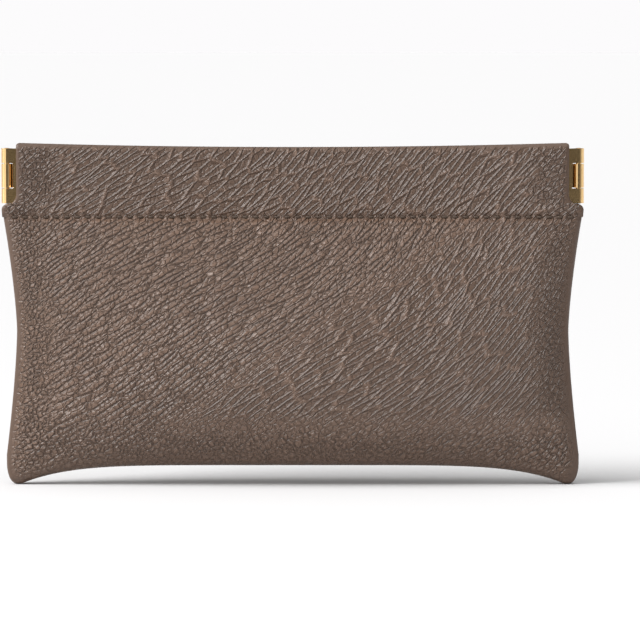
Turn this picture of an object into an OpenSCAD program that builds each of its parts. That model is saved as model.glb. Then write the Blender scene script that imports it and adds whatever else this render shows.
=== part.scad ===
// Squeeze coin purse: a lined leather pouch with a two-strip flex frame in its mouth.
// X runs along the mouth, the front faces -Y, and the purse stands on its two bottom corners at Z = 0.

/* [Pouch] */
// How far the shoulders under the hinges stand out past the channels' ends
shoulder_out = 2.9; // [2.4:0.1:4]
// How far each side is drawn in from the shoulders at its narrowest place
waist_in = 3; // [0:0.1:6]
// How far the bottom corners lie inside the shoulders
foot_in = 1; // [0:0.1:3]
// Height of the narrowest place
waist_z = 34; // [24:0.5:44]
// Height of the widest place of the bottom corners
foot_z = 6.5; // [4:0.5:12]
// Height of the stitch line that closes the channels
stitch_z = 59; // [50:0.5:80]
// How far the middle of the bottom edge is drawn up
bottom_rise = 4.1; // [2:0.1:5]
// Length of each bottom corner's foot, from the outline to where the bottom edge leaves the floor
foot_l = 3.1; // [2.6:0.1:10]
// Radius of the bottom corners
corner_r = 2.2; // [1:0.1:3]
// How far the middle of each side swells past its edge
swell = 7.8; // [4:0.1:12]
// Half of the thickness at the sewn edges
edge_half = 1.65; // [1.5:0.05:2.2]

/* [Leather] */
// Thickness of the leather
leather_t = 1.1; // [0.8:0.05:1.2]
// Thickness of the lining
lining_t = 0.4; // [0.2:0.05:0.45]
// Height of the top of the bottom fold
fold_z = 5.6; // [5.2:0.1:8]
// Width of the edges that are turned in at the side seams
seam_w = 4; // [2:0.1:5]
// Thickness of a side seam's turned-in edges
seam_t = 0.8; // [0.5:0.05:0.85]

/* [Channels] */
// Length of the channels along the mouth
casing_w = 121.2; // [90:0.2:170]
// Thickness of one channel, with its two layers of leather
casing_t = 2.4; // [2.2:0.05:3]
// How far a channel's top edge stands over the hinges at its ends
top_over = 1.2; // [1:0.1:3]
// How far the top edge dips in the middle
casing_dip = 0.9; // [0:0.1:0.9]
// Space between the two closed channels
mouth_gap = 0.3; // [0.2:0.05:0.6]
// Radius of the folded top edge
fold_r = 0.9; // [0.4:0.1:1.1]

/* [Spring strips] */
// Thickness of a strip
strip_t = 0.5; // [0.3:0.05:0.6]
// Height of a strip inside its channel
strip_h = 10.6; // [8:0.1:10.8]
// Height of the hinges
hinge_h = 12; // [11:0.1:12.2]
// Height of each of the front strip's knuckles
knuckle_h = 3.2; // [2:0.1:4]
// Outer diameter of the rolled knuckles
barrel_d = 2.36; // [2:0.02:2.4]
// Diameter of the hinge pins
pin_d = 1.24; // [0.8:0.02:1.3]
// How far the pins' axes stand out past the channels
pin_reach = 2.2; // [2.1:0.1:3]
// Length of the strips' middle stretch, which stays straight
middle_w = 28; // [16:1:60]

/* [Thread] */
// Distance from stitch to stitch along the mouth
stitch_pitch = 2.3; // [2:0.1:4]
// Length of a stitch along the mouth
stitch_l = 1.5; // [1:0.1:1.7]
// Diameter of the thread along the mouth
thread_d = 0.5; // [0.3:0.05:0.6]
// Distance from stitch to stitch in the side seams
seam_pitch = 2.5; // [2:0.1:4]
// Diameter of the thread in the side seams
seam_thread_d = 0.4; // [0.2:0.05:0.4]

/* [Clearances] */
// Space between pieces that move past each other
soft_gap = 0.3; // [0.2:0.05:0.5]
// Space between the lengths of a strip or a channel
joint_gap = 0.2; // [0.1:0.05:0.3]
// Space between knuckles along a pin
knuckle_gap = 0.15; // [0.1:0.05:0.3]
// Space around a pin in the knuckle that turns on it
pin_clear = 0.05; // [0.02:0.01:0.08]
// Space around a strip in its channel
slot_clear = 0.1; // [0.05:0.05:0.15]
// How far the middle of each side moves out when the mouth is open
open_each = 15; // [8:0.5:18]

/* [Hidden] */

leather_colour = "#7a6a5f";
lining_colour = "#8b7d70";
thread_colour = "#4a3b31";
gold_colour = "#d8b063";

// Half widths of the pouch at its shoulders, waist and bottom corners
casing_end = casing_w / 2;
shoulder_half = casing_end + shoulder_out;
waist_half = shoulder_half - waist_in;
foot_half = shoulder_half - foot_in;

// Depths from the middle plane
casing_in = mouth_gap / 2;
casing_out = casing_in + casing_t;
strip_y = casing_out - leather_t - slot_clear - strip_t / 2;
roof_half = 0.45;

// Heights
hem_half = 0.55;
hinge_rise = 2.15;
shoulder_drop = 0.2;
panel_top = stitch_z + hem_half;
panel_low = fold_z + soft_gap;
casing_low = panel_top + soft_gap;
hinge_low = casing_low + hinge_rise;
hinge_top = hinge_low + hinge_h;
hinge_mid = (hinge_low + hinge_top) / 2;
casing_top = hinge_top + top_over;
shoulder_top = hinge_low - shoulder_drop;

// Distances from the middle along the mouth, and how far a strip's full height runs into its channel
window_out = 0.15;
tab_bend = 0.4;
pin_x = casing_end + pin_reach;
bend_x = middle_w / 2;
window_x = casing_end + window_out;
strip_end = window_x - tab_bend;
flare_l = 1.6;

// How far the turned-in edges of the side seams lie inside the pouch's outline
seam_inset = 0.6;

// The side swings about the top of the fold, and the fold's roof slopes away under it
swing = asin(open_each / (panel_top - fold_z));
roof_slope = tan(swing + 2);

// How far a cutting shape runs past what it cuts
cut_over = 1;
// Steps across and up the pouch's sides
across = 30;
up = 14;

// Half of the pouch's width at a height
function side_x(z) =
    let (
        top = (shoulder_half - waist_half) * pow(max(0, z - waist_z) / (stitch_z - waist_z), 1.6),
        low = (foot_half - waist_half) * pow(min(1, max(0, waist_z - z) / (waist_z - foot_z)), 1.6),
        fall = max(0, corner_r - max(0, z))
    )
    waist_half + top + low - corner_r + sqrt(corner_r * corner_r - fall * fall);

// Height of the bottom edge, which dips under the floor's level where the corners are cut flat
function bottom_z(x) = max(-0.4, bottom_rise * (1 - pow(abs(x) / (foot_half - foot_l), 6)));

// Half of the pouch's thickness at a place on its side
function half_t(x, z) =
    let (
        low = bottom_z(x),
        rise = min(1, max(0, (z - low) / (panel_top - low))),
        out = min(1, abs(x) / side_x(z)),
        lengthwise = pow(1 - pow(out, 2.6), 0.6),
        upright = pow(sin(180 * pow(rise, 0.75)), 0.8),
        edge = edge_half + (casing_out - edge_half) * rise
    )
    edge + swell * lengthwise * upright;

// Shares from -1 to 1 and from 0 to 1 that crowd towards both ends
function spread(i, n) = sin(90 * (2 * i / n - 1));
function ramp(j, n) = (1 - cos(180 * j / n)) / 2;

// Triangles of a grid of points, whose rows hold n + 1 points, starting at point s
function grid(s, n, m, flip) = [
    for (j = [0 : m - 1], i = [0 : n - 1])
        let (a = s + j * (n + 1) + i, b = a + 1, c = a + n + 1, d = c + 1)
        each flip ? [[a, c, b], [b, c, d]] : [[a, b, c], [b, d, c]]
];

// Triangles of a strip between two rows of points
function ribbon(p, q, flip) = [
    for (i = [0 : len(p) - 2])
        each flip
            ? [[p[i], q[i], p[i + 1]], [p[i + 1], q[i], q[i + 1]]]
            : [[p[i], p[i + 1], q[i]], [p[i + 1], q[i + 1], q[i]]]
];

// One swelled sheet of the front: from depth in to depth out under the pouch's own surface
module swelled_sheet(out, in, low, top, margin) {
    n = across;
    m = up;
    rows = [for (j = [0 : m]) low + (top - low) * ramp(j, m)];
    columns = [for (i = [0 : n]) spread(i, n)];
    outer = [for (z = rows, u = columns) let (x = u * (side_x(z) - margin)) [x, -half_t(x, z) + out, z]];
    inner = [for (z = rows, u = columns) let (x = u * (side_x(z) - margin)) [x, -half_t(x, z) + in, z]];
    s = (n + 1) * (m + 1);
    low_row = [for (i = [0 : n]) i];
    top_row = [for (i = [0 : n]) m * (n + 1) + i];
    left_row = [for (j = [0 : m]) j * (n + 1)];
    right_row = [for (j = [0 : m]) j * (n + 1) + n];
    polyhedron(
        points = concat(outer, inner),
        faces = concat(
            grid(0, n, m, true),
            grid(s, n, m, false),
            ribbon(low_row, [for (i = low_row) s + i], false),
            ribbon(top_row, [for (i = top_row) s + i], true),
            ribbon(left_row, [for (i = left_row) s + i], true),
            ribbon(right_row, [for (i = right_row) s + i], false)
        )
    );
}

// The same piece on the back
module at_back() {
    mirror([0, 1, 0]) children();
}

// The same piece at the right end
module at_right() {
    mirror([1, 0, 0]) children();
}

// Leather of the pouch's bottom, folded round from front to back, with the two corners it stands on
module bottom_fold() {
    n = across;
    m = 4;
    ring = 2 * (m + 1) + 2;
    function roof_y(x) = half_t(x, fold_z - 1);
    function roof_z(x) = fold_z - (roof_y(x) - roof_half) * roof_slope;
    function wall(x, k, front) =
        let (z = bottom_z(x) + (roof_z(x) - bottom_z(x)) * k / m, px = x / side_x(fold_z) * side_x(z))
        [px, (front ? -1 : 1) * (k == 0 ? 0.7 * edge_half : k == m ? roof_y(x) : half_t(x, z)), z];
    stations = [for (i = [0 : n]) spread(i, n) * side_x(fold_z)];
    points = [
        for (x = stations)
            each concat(
                [for (k = [0 : m]) wall(x, k, true)],
                [[x, -roof_half, fold_z], [x, roof_half, fold_z]],
                [for (k = [m : -1 : 0]) wall(x, k, false)]
            )
    ];
    skin = [
        for (i = [0 : n - 1], k = [0 : ring - 1])
            let (a = i * ring + k, b = i * ring + (k + 1) % ring, c = a + ring, d = b + ring)
            each [[a, c, b], [b, c, d]]
    ];
    half_ring = ring / 2;
    front_side = [for (k = [0 : half_ring - 1]) k];
    back_side = [for (k = [0 : half_ring - 1]) ring - 1 - k];
    color(leather_colour)
        difference() {
            polyhedron(
                points = points,
                faces = concat(
                    skin,
                    ribbon(front_side, back_side, false),
                    ribbon([for (k = front_side) n * ring + k], [for (k = back_side) n * ring + k], true)
                )
            );
            translate([-casing_w, -casing_w, -casing_w])
                cube([2 * casing_w, 2 * casing_w, casing_w]);
        }
}

// Turned-in edges of the left side seam, which follow the pouch's outline
module left_side_seam() {
    steps = 16;
    top = stitch_z - hem_half;
    heights = [for (k = [0 : steps]) fold_z + (top - fold_z) * k / steps];
    outline = concat(
        [for (z = heights) [-side_x(z) + seam_inset, z]],
        [for (k = [steps : -1 : 0]) [-side_x(heights[k]) + seam_inset + seam_w, heights[k]]]
    );
    color(leather_colour)
        translate([0, seam_t / 2, 0])
            rotate([90, 0, 0])
                linear_extrude(seam_t)
                    polygon(outline);
}

module right_side_seam() {
    at_right() left_side_seam();
}

// Thread through the left side seam, seen from inside the pouch
module left_seam_thread() {
    low = fold_z + seam_w;
    count = floor((stitch_z - seam_w - low) / seam_pitch);
    inset = seam_inset + seam_w / 2;
    length = 0.7 * seam_pitch;
    color(thread_colour)
        for (k = [0 : count - 1], face = [-1, 1]) {
            z = low + k * seam_pitch;
            translate([-side_x(z) + inset, face * seam_t / 2, z])
                cylinder(h = length, d = seam_thread_d, $fn = 16);
        }
}

module right_seam_thread() {
    at_right() left_seam_thread();
}

// Outer leather of the front
module front_panel() {
    color(leather_colour) swelled_sheet(0, leather_t, panel_low, panel_top, 0);
}

module back_panel() {
    at_back() front_panel();
}

// Lining of the front, which stops short of the side seams
module front_lining() {
    glue = 0.12;
    color(lining_colour)
        swelled_sheet(
            leather_t + glue, leather_t + glue + lining_t,
            panel_low + 1, stitch_z - 1, seam_w + 1
        );
}

module back_lining() {
    at_back() front_lining();
}

// Row of stitches that closes the front channel
module front_hem_stitches() {
    inset = 1.5;
    sunk = 0.05;
    count = floor(2 * (side_x(stitch_z) - inset) / stitch_pitch);
    color(thread_colour)
        for (k = [0 : count]) {
            x = (k - count / 2) * stitch_pitch;
            translate([x - stitch_l / 2, -half_t(x, stitch_z) + sunk, stitch_z])
                rotate([0, 90, 0])
                    cylinder(h = stitch_l, d = thread_d, $fn = 16);
        }
}

module back_hem_stitches() {
    at_back() front_hem_stitches();
}

// Height of the channel's top edge, which dips in the middle and ends in a round corner
function edge_z(x) =
    let (
        along = abs(x) / casing_end,
        near = max(0, abs(x) - (casing_end - fold_r))
    )
    casing_top - casing_dip * (1 - along * along) - fold_r + sqrt(fold_r * fold_r - near * near);

// Height of the shoulder that spreads out under the hinge, from its round tip to the channel's end
shoulder_x = side_x(panel_top);
tip_r = 1.2;
rise_w = 0.9;
rise_h = 2.1;
function shoulder_z(x) =
    let (
        tip = max(0, tip_r - (shoulder_x - abs(x))),
        near = max(0, 1 - (abs(x) - casing_end) / rise_w)
    )
    shoulder_top - tip_r + sqrt(tip_r * tip_r - tip * tip) + rise_h * (1 - sqrt(1 - near * near));

// Section of a channel at a place along the mouth, from the inside of its foot round its top
function casing_section(x, top, in) =
    let (r = min(fold_r, (top - casing_low) / 2, (casing_out - in) * 0.45))
    concat(
        [[x, -in, casing_low], [x, -casing_out, casing_low]],
        [for (a = [0 : 30 : 90]) [x, -casing_out + r * (1 - cos(a)), top - r + r * sin(a)]],
        [for (a = [90 : -30 : 0]) [x, -in - r * (1 - cos(a)), top - r + r * sin(a)]]
    );

// Solid through a list of sections
module lofted(sections) {
    n = len(sections);
    ring = len(sections[0]);
    polyhedron(
        points = [for (s = sections) each s],
        faces = concat(
            [
                for (i = [0 : n - 2], k = [0 : ring - 1])
                    let (a = i * ring + k, b = i * ring + (k + 1) % ring)
                    each [[a, b, a + ring], [b, b + ring, a + ring]]
            ],
            [[for (k = [ring - 1 : -1 : 0]) k], [for (k = [0 : ring - 1]) (n - 1) * ring + k]]
        )
    );
}

// Room for a strip, wider at its end, where the hinge comes out
module strip_slot() {
    low = hinge_mid - strip_h / 2 - slot_clear;
    depth = strip_t + 2 * slot_clear;
    translate([-casing_w, -strip_y - depth / 2, low])
        cube([2 * casing_w, depth, strip_h + 2 * slot_clear]);
    end = window_x - flare_l - slot_clear;
    for (side = [-1, 1])
        translate([side > 0 ? end : -end - casing_w, -strip_y - depth / 2, hinge_low - slot_clear])
            cube([casing_w, depth, hinge_h + 2 * slot_clear]);
}

// Left length of the front channel, with the shoulder under the hinge
module front_casing_left() {
    steps = 6;
    inner_x = bend_x + joint_gap / 2;
    shoulder = [for (k = [0 : steps]) shoulder_x - (shoulder_x - casing_end) * (1 - cos(90 * k / steps))];
    corner = [for (a = [0 : 30 : 90]) casing_end - 0.01 - fold_r * (1 - cos(a)) * 0.99];
    run = [for (k = [1 : 4]) casing_end - fold_r - (casing_end - fold_r - inner_x) * k / 4];
    relief = 0.5;
    relief_x = casing_end + 1.4;
    color(leather_colour)
        difference() {
            lofted(concat(
                [for (x = shoulder) casing_section(-x, shoulder_z(x), x > relief_x ? relief : casing_in)],
                [for (x = concat(corner, run)) casing_section(-x, edge_z(x), casing_in)]
            ));
            strip_slot();
        }
}

module front_casing_right() {
    at_right() front_casing_left();
}

module front_casing_middle() {
    half = bend_x - joint_gap / 2;
    color(leather_colour)
        difference() {
            lofted([for (k = [-3 : 3]) casing_section(half * k / 3, edge_z(half * k / 3), casing_in)]);
            strip_slot();
        }
}

module back_casing_left() {
    at_back() front_casing_left();
}

module back_casing_middle() {
    at_back() front_casing_middle();
}

module back_casing_right() {
    at_back() front_casing_right();
}

// Flat stretch of a strip between two places along the mouth
module strip_run(from, to) {
    translate([from, -strip_y - strip_t / 2, hinge_mid - strip_h / 2])
        cube([to - from, strip_t, strip_h]);
}

// Knuckle of the left hinge with the tab that joins it to the strip, from one height to another
module knuckle(low, high, bore) {
    barrel_r = barrel_d / 2;
    straight_x = window_x + 0.5;
    overlap_x = casing_end - 1;
    tab = [
        [-pin_x, -barrel_r],
        [-straight_x, -barrel_r],
        [-strip_end, -strip_y - strip_t / 2],
        [-overlap_x, -strip_y - strip_t / 2],
        [-overlap_x, -strip_y + strip_t / 2],
        [-strip_end, -strip_y + strip_t / 2],
        [-straight_x, -barrel_r + strip_t],
        [-pin_x, -barrel_r + strip_t]
    ];
    translate([0, 0, low])
        difference() {
            union() {
                linear_extrude(high - low) polygon(tab);
                translate([-pin_x, 0, 0]) cylinder(h = high - low, d = barrel_d, $fn = 48);
            }
            translate([-pin_x, 0, -cut_over]) cylinder(h = high - low + 2 * cut_over, d = bore, $fn = 48);
        }
}

// Left length of the front strip, with the upper and the lower knuckle
module front_strip_left() {
    color(gold_colour) {
        strip_run(-strip_end, -bend_x - joint_gap / 2);
        translate([-window_x, -strip_y - strip_t / 2, hinge_low])
            cube([flare_l, strip_t, hinge_h]);
        knuckle(hinge_low, hinge_low + knuckle_h, pin_d);
        knuckle(hinge_top - knuckle_h, hinge_top, pin_d);
    }
}

module front_strip_right() {
    at_right() front_strip_left();
}

module front_strip_middle() {
    color(gold_colour)
        strip_run(-bend_x + joint_gap / 2, bend_x - joint_gap / 2);
}

// Left length of the back strip, with its one knuckle between the front strip's two
module back_strip_left() {
    color(gold_colour)
        at_back() {
            strip_run(-strip_end, -bend_x - joint_gap / 2);
            translate([-window_x, -strip_y - strip_t / 2, hinge_low])
                cube([flare_l, strip_t, hinge_h]);
            knuckle(
                hinge_low + knuckle_h + knuckle_gap, hinge_top - knuckle_h - knuckle_gap,
                pin_d + 2 * pin_clear
            );
        }
}

module back_strip_right() {
    at_right() back_strip_left();
}

module back_strip_middle() {
    at_back() front_strip_middle();
}

// Pin of the left hinge, held in the front strip's knuckles
module left_hinge_pin() {
    proud = 0.1;
    color(gold_colour)
        translate([-pin_x, 0, hinge_low - proud])
            cylinder(h = hinge_h + 2 * proud, d = pin_d, $fn = 48);
}

module right_hinge_pin() {
    at_right() left_hinge_pin();
}

bottom_fold();
left_side_seam();
right_side_seam();
left_seam_thread();
right_seam_thread();
front_panel();
front_lining();
front_hem_stitches();
back_panel();
back_lining();
back_hem_stitches();
front_casing_left();
front_casing_middle();
front_casing_right();
back_casing_left();
back_casing_middle();
back_casing_right();
front_strip_left();
front_strip_middle();
front_strip_right();
back_strip_left();
back_strip_middle();
back_strip_right();
left_hinge_pin();
right_hinge_pin();
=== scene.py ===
import math

import bmesh
import bpy
import mathutils
import numpy as np
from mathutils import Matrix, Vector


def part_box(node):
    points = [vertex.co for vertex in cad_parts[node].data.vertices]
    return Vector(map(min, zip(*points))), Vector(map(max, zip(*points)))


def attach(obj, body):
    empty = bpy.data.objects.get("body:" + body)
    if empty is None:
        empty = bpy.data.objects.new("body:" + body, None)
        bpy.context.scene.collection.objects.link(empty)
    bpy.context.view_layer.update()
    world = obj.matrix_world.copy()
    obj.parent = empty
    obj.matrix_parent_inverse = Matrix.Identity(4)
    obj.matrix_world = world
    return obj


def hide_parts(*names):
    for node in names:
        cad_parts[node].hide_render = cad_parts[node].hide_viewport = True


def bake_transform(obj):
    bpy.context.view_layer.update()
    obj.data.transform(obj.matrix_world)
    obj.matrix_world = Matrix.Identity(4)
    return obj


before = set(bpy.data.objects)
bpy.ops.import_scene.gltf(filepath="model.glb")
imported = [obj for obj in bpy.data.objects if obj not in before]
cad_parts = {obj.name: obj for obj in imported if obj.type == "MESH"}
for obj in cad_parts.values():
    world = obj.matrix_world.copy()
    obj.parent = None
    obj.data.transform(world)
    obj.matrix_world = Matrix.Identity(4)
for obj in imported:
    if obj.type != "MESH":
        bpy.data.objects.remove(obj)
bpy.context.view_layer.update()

# Sizes are in millimetres and are taken from the CAD nodes where a node gives them.
# X runs along the mouth, the front faces -Y, and each side of the purse is named by its sign in Y.
MM = 0.001
FRONT, BACK = -1, 1
LEFT, RIGHT = -1, 1
SIDE_NAMES = {FRONT: "front", BACK: "back"}
END_NAMES = {LEFT: "left", RIGHT: "right"}
QUARTERS = [(side, end) for side in (FRONT, BACK) for end in (LEFT, RIGHT)]


def box_mm(node_name):
    """Lowest and highest corner of a CAD node's box, in millimetres."""
    low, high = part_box(node_name)
    return low / MM, high / MM


# Hinge ends of the two spring strips: 0.5 mm spring steel, gilt and polished. Each end is cut from the
# flat strip, with a window between the front one's two knuckles, and the knuckles are rolled round the pin.
# The inner part of each end is held in its channel by the fit of the leather.
pin_low, pin_high = box_mm("left_hinge_pin")
PIN_X = -(pin_low.x + pin_high.x) / 2
PIN_R = (pin_high.x - pin_low.x) / 2
tab_low, tab_high = box_mm("front_strip_left")
HINGE_LOW, HINGE_TOP = tab_low.z, tab_high.z
BARREL_R = -tab_low.x - PIN_X
spring_low, spring_high = box_mm("front_strip_middle")
STRIP_T = spring_high.y - spring_low.y
STRIP_Y = -(spring_low.y + spring_high.y) / 2
STRIP_LOW, STRIP_TOP = spring_low.z, spring_high.z
WINDOW_X = 61.05
TAB_INNER_X = 56.8
TAB_WIDE_X = 58.5
TAB_BEND_X = 59.0
TAB_STRAIGHT_X = 60.4
BEND_LEAD = 0.15
BEND_STEPS = 4
STEP_SLOPE = 0.4
STEP_INNER_R, STEP_OUTER_R = 0.2, 0.3
KNUCKLE_H = 3.2
KNUCKLE_GAP = 0.2
KNUCKLE_CORNER = 0.12
ROLL_SWEEP, ROLL_STEP = 290, 10
WINDOW_CORNER = 0.65
TAB_CORNER = 0.35
EDGE_BREAK = 0.12
EDGE_ANGLE = 50
KNUCKLES = {
    FRONT: [(HINGE_LOW, HINGE_LOW + KNUCKLE_H), (HINGE_TOP - KNUCKLE_H, HINGE_TOP)],
    BACK: [(HINGE_LOW + KNUCKLE_H + KNUCKLE_GAP, HINGE_TOP - KNUCKLE_H - KNUCKLE_GAP)],
}


def linear(hex_colour):
    """Linear colour of an sRGB hex value."""
    channels = [int(hex_colour[k : k + 2], 16) / 255 for k in (1, 3, 5)]
    return [c / 12.92 if c <= 0.04045 else ((c + 0.055) / 1.055) ** 2.4 for c in channels] + [1.0]


def node(tree, kind, links=None, **settings):
    """Adds a shader node. Settings are its own properties, or the values of its inputs by name or number."""
    made = tree.nodes.new(kind)
    for name, value in settings.items():
        if hasattr(made, name) and not name.startswith("in_"):
            setattr(made, name, value)
        else:
            key = name[3:] if name.startswith("in_") else name
            socket = made.inputs[int(key)] if key.isdigit() else made.inputs[key.replace("_", " ")]
            socket.default_value = value
    for name, source in (links or {}).items():
        tree.links.new(source, made.inputs[name])
    return made


def new_material(name):
    """An empty material and its node tree."""
    material = bpy.data.materials.new(name)
    material.use_nodes = True
    material.node_tree.nodes.clear()
    return material, material.node_tree


def finish_material(tree, shader):
    node(tree, "ShaderNodeOutputMaterial", {"Surface": shader.outputs["BSDF"]})


# Gold plate over polished steel is a warm mirror. Its only marks are faint wipe lines and a slight
# unevenness of the buffing, which break up the reflections a little.
gold_plate, tree = new_material("polished_gold_plate")
place = node(tree, "ShaderNodeTexCoord")
wipe_lines = node(
    tree, "ShaderNodeMapping", {"Vector": place.outputs["Object"]}, in_Scale=(900, 900, 9000)
)
wipes = node(
    tree, "ShaderNodeTexNoise", {"Vector": wipe_lines.outputs["Vector"]}, in_Scale=1.0, in_Detail=3.0
)
wipe_gloss = node(
    tree, "ShaderNodeMapRange", {"Value": wipes.outputs["Fac"]}, in_To_Min=0.07, in_To_Max=0.17
)
buffing = node(tree, "ShaderNodeTexNoise", {"Vector": place.outputs["Object"]}, in_Scale=700.0, in_Detail=2.0)
gold_tint = node(
    tree, "ShaderNodeMix", {"Factor": buffing.outputs["Fac"]}, data_type="RGBA",
    in_6=linear("#f0c78c"), in_7=linear("#f7d49c"),
)
buffed = node(
    tree, "ShaderNodeBump", {"Height": buffing.outputs["Fac"]}, in_Strength=0.12, in_Distance=0.00002
)
gold_shader = node(
    tree, "ShaderNodeBsdfPrincipled",
    {
        "Base Color": gold_tint.outputs[2],
        "Roughness": wipe_gloss.outputs["Result"],
        "Normal": buffed.outputs["Normal"],
    },
    in_Metallic=1.0,
)
finish_material(tree, gold_shader)


def add_object(name, data):
    """Puts a mesh, a light or a camera into the scene."""
    made = bpy.data.objects.new(name, data)
    bpy.context.scene.collection.objects.link(made)
    return made


def make_piece(name, points, faces, material, smooth_angle=40):
    """A mesh object from points in millimetres, smooth apart from edges sharper than smooth_angle."""
    mesh = bpy.data.meshes.new(name)
    mesh.from_pydata([[c * MM for c in p] for p in points], [], faces)
    mesh.validate()
    mesh.shade_smooth()
    mesh.set_sharp_from_angle(angle=math.radians(smooth_angle))
    mesh.materials.append(material)
    return add_object(name, mesh)


def rounded_outline(corners, steps=5):
    """Outline through corners (x, y, radius), each corner turned into an arc of its radius."""
    outline = []
    for k, (x, y, radius) in enumerate(corners):
        here = np.array([x, y], float)
        if radius == 0:
            outline.append(here)
            continue
        before = np.array(corners[k - 1][:2], float) - here
        after = np.array(corners[(k + 1) % len(corners)][:2], float) - here
        before /= np.linalg.norm(before)
        after /= np.linalg.norm(after)
        half_angle = math.acos(np.clip(before @ after, -1, 1)) / 2
        middle = (before + after) / np.linalg.norm(before + after)
        centre = here + middle * radius / math.sin(half_angle)
        first = here + before * radius / math.tan(half_angle) - centre
        last = here + after * radius / math.tan(half_angle) - centre
        for step in range(steps + 1):
            share = step / steps
            ray = first * (1 - share) + last * share
            outline.append(centre + ray / np.linalg.norm(ray) * radius)
    return outline


def tab_section(side):
    """Middle line of a left hinge end seen from above: from inside the channel out to the rolled knuckle."""
    roll_r = BARREL_R - STRIP_T / 2
    line = [(-TAB_INNER_X, -STRIP_Y), (-TAB_WIDE_X, -STRIP_Y), (-TAB_BEND_X + BEND_LEAD, -STRIP_Y)]
    for step in range(BEND_STEPS + 1):
        share = step / BEND_STEPS
        rise = share * share * (3 - 2 * share)
        x = -TAB_BEND_X - (TAB_STRAIGHT_X - TAB_BEND_X) * share
        line.append((x, -STRIP_Y + (STRIP_Y - roll_r) * rise))
    line.append((-(TAB_STRAIGHT_X + PIN_X) / 2, -roll_r))
    for turn in range(0, ROLL_SWEEP + 1, ROLL_STEP):
        angle = math.radians(-90 - turn)
        line.append((-PIN_X + roll_r * math.cos(angle), roll_r * math.sin(angle)))
    return [np.array([x, y if side == FRONT else -y]) for x, y in line]


def hinge_end(side, end):
    """A strip's rolled end as a flat blank, cut into narrow bands and bent along its section."""
    line = tab_section(side)
    steps = [np.linalg.norm(b - a) for a, b in zip(line, line[1:])]
    reach = [0] + list(np.cumsum(steps))
    normals = []
    for k in range(len(line)):
        along = line[min(k + 1, len(line) - 1)] - line[max(k - 1, 0)]
        along /= np.linalg.norm(along)
        normals.append(np.array([-along[1], along[0]]))

    def reach_at(x):
        """How far along the blank a place before the roll is."""
        before_roll = BEND_STEPS + 5
        return float(np.interp(x, [-p[0] for p in line[:before_roll]], reach[:before_roll]))

    wide, window, tip = reach_at(TAB_WIDE_X), reach_at(WINDOW_X), reach[-1]
    corners = [
        (0, STRIP_LOW, 0), (wide - STEP_SLOPE, STRIP_LOW, STEP_INNER_R), (wide, HINGE_LOW, STEP_OUTER_R)
    ]
    if side == BACK:
        corners.append((window, HINGE_LOW, TAB_CORNER))
    for low, top in KNUCKLES[side]:
        if low > HINGE_LOW:
            corners.append((window, low, WINDOW_CORNER))
        corners += [(tip, low, KNUCKLE_CORNER), (tip, top, KNUCKLE_CORNER)]
        if top < HINGE_TOP:
            corners.append((window, top, WINDOW_CORNER))
    if side == BACK:
        corners.append((window, HINGE_TOP, TAB_CORNER))
    corners += [
        (wide, HINGE_TOP, STEP_OUTER_R), (wide - STEP_SLOPE, STRIP_TOP, STEP_INNER_R), (0, STRIP_TOP, 0)
    ]
    blank = bmesh.new()
    blank.faces.new([blank.verts.new((s, z, 0)) for s, z in rounded_outline(corners)])
    for s in reach[1:-1]:
        bmesh.ops.bisect_plane(
            blank, geom=blank.verts[:] + blank.edges[:] + blank.faces[:],
            plane_co=(s, 0, 0), plane_no=(1, 0, 0), dist=1e-5,
        )
    blank.verts.index_update()
    flat = [v.co.copy() for v in blank.verts]
    faces = [[v.index for v in f.verts] for f in blank.faces]
    rim = [[v.index for v in e.verts] for e in blank.edges if e.is_boundary]
    rim_faces = {tuple(sorted(pair)): next(f for f in faces if set(pair) <= set(f)) for pair in rim}
    blank.free()

    def bent(s, z, offset):
        """Where a point of the blank lies once it is bent, at an offset from the middle line."""
        k = min(int(np.searchsorted(reach, s, side="right")) - 1, len(line) - 2)
        share = (s - reach[k]) / (reach[k + 1] - reach[k])
        place = line[k] * (1 - share) + line[k + 1] * share
        normal = normals[k] * (1 - share) + normals[k + 1] * share
        place = place + normal / np.linalg.norm(normal) * offset
        return (-end * place[0], place[1], z)

    half = STRIP_T / 2
    points = [bent(p.x, p.y, half) for p in flat] + [bent(p.x, p.y, -half) for p in flat]
    count = len(flat)
    solid_faces = faces + [[i + count for i in reversed(f)] for f in faces]
    for (a, b), face in rim_faces.items():
        k = face.index(a)
        follows = face[(k + 1) % len(face)] == b
        a, b = (a, b) if follows else (b, a)
        solid_faces.append([b, a, a + count, b + count])
    name = f"{SIDE_NAMES[side]}_hinge_end_{END_NAMES[end]}"
    piece = make_piece(name, points, solid_faces, gold_plate)
    shaped = bmesh.new()
    shaped.from_mesh(piece.data)
    bmesh.ops.recalc_face_normals(shaped, faces=shaped.faces[:])
    shaped.to_mesh(piece.data)
    shaped.free()
    edge = piece.modifiers.new("broken_edges", "BEVEL")
    edge.width = EDGE_BREAK * MM
    edge.segments = 2
    edge.limit_method = "ANGLE"
    edge.angle_limit = math.radians(EDGE_ANGLE)
    weights = piece.modifiers.new("even_shading", "WEIGHTED_NORMAL")
    weights.keep_sharp = True
    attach(piece, f"{SIDE_NAMES[side]}_{END_NAMES[end]}")
    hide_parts(f"{SIDE_NAMES[side]}_strip_{END_NAMES[end]}")


for side, end in QUARTERS:
    hinge_end(side, end)

# Hinge pins: gilt steel wire with slightly domed ends, pressed into the front strip's knuckles, so that
# the back strip's knuckle turns on them. The ends stand 0.1 mm proud of the knuckles.
PIN_DOME = 0.12
DOME_PROFILE = [(0.55, 0), (0.85, 0.3), (1, 1)]


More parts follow.
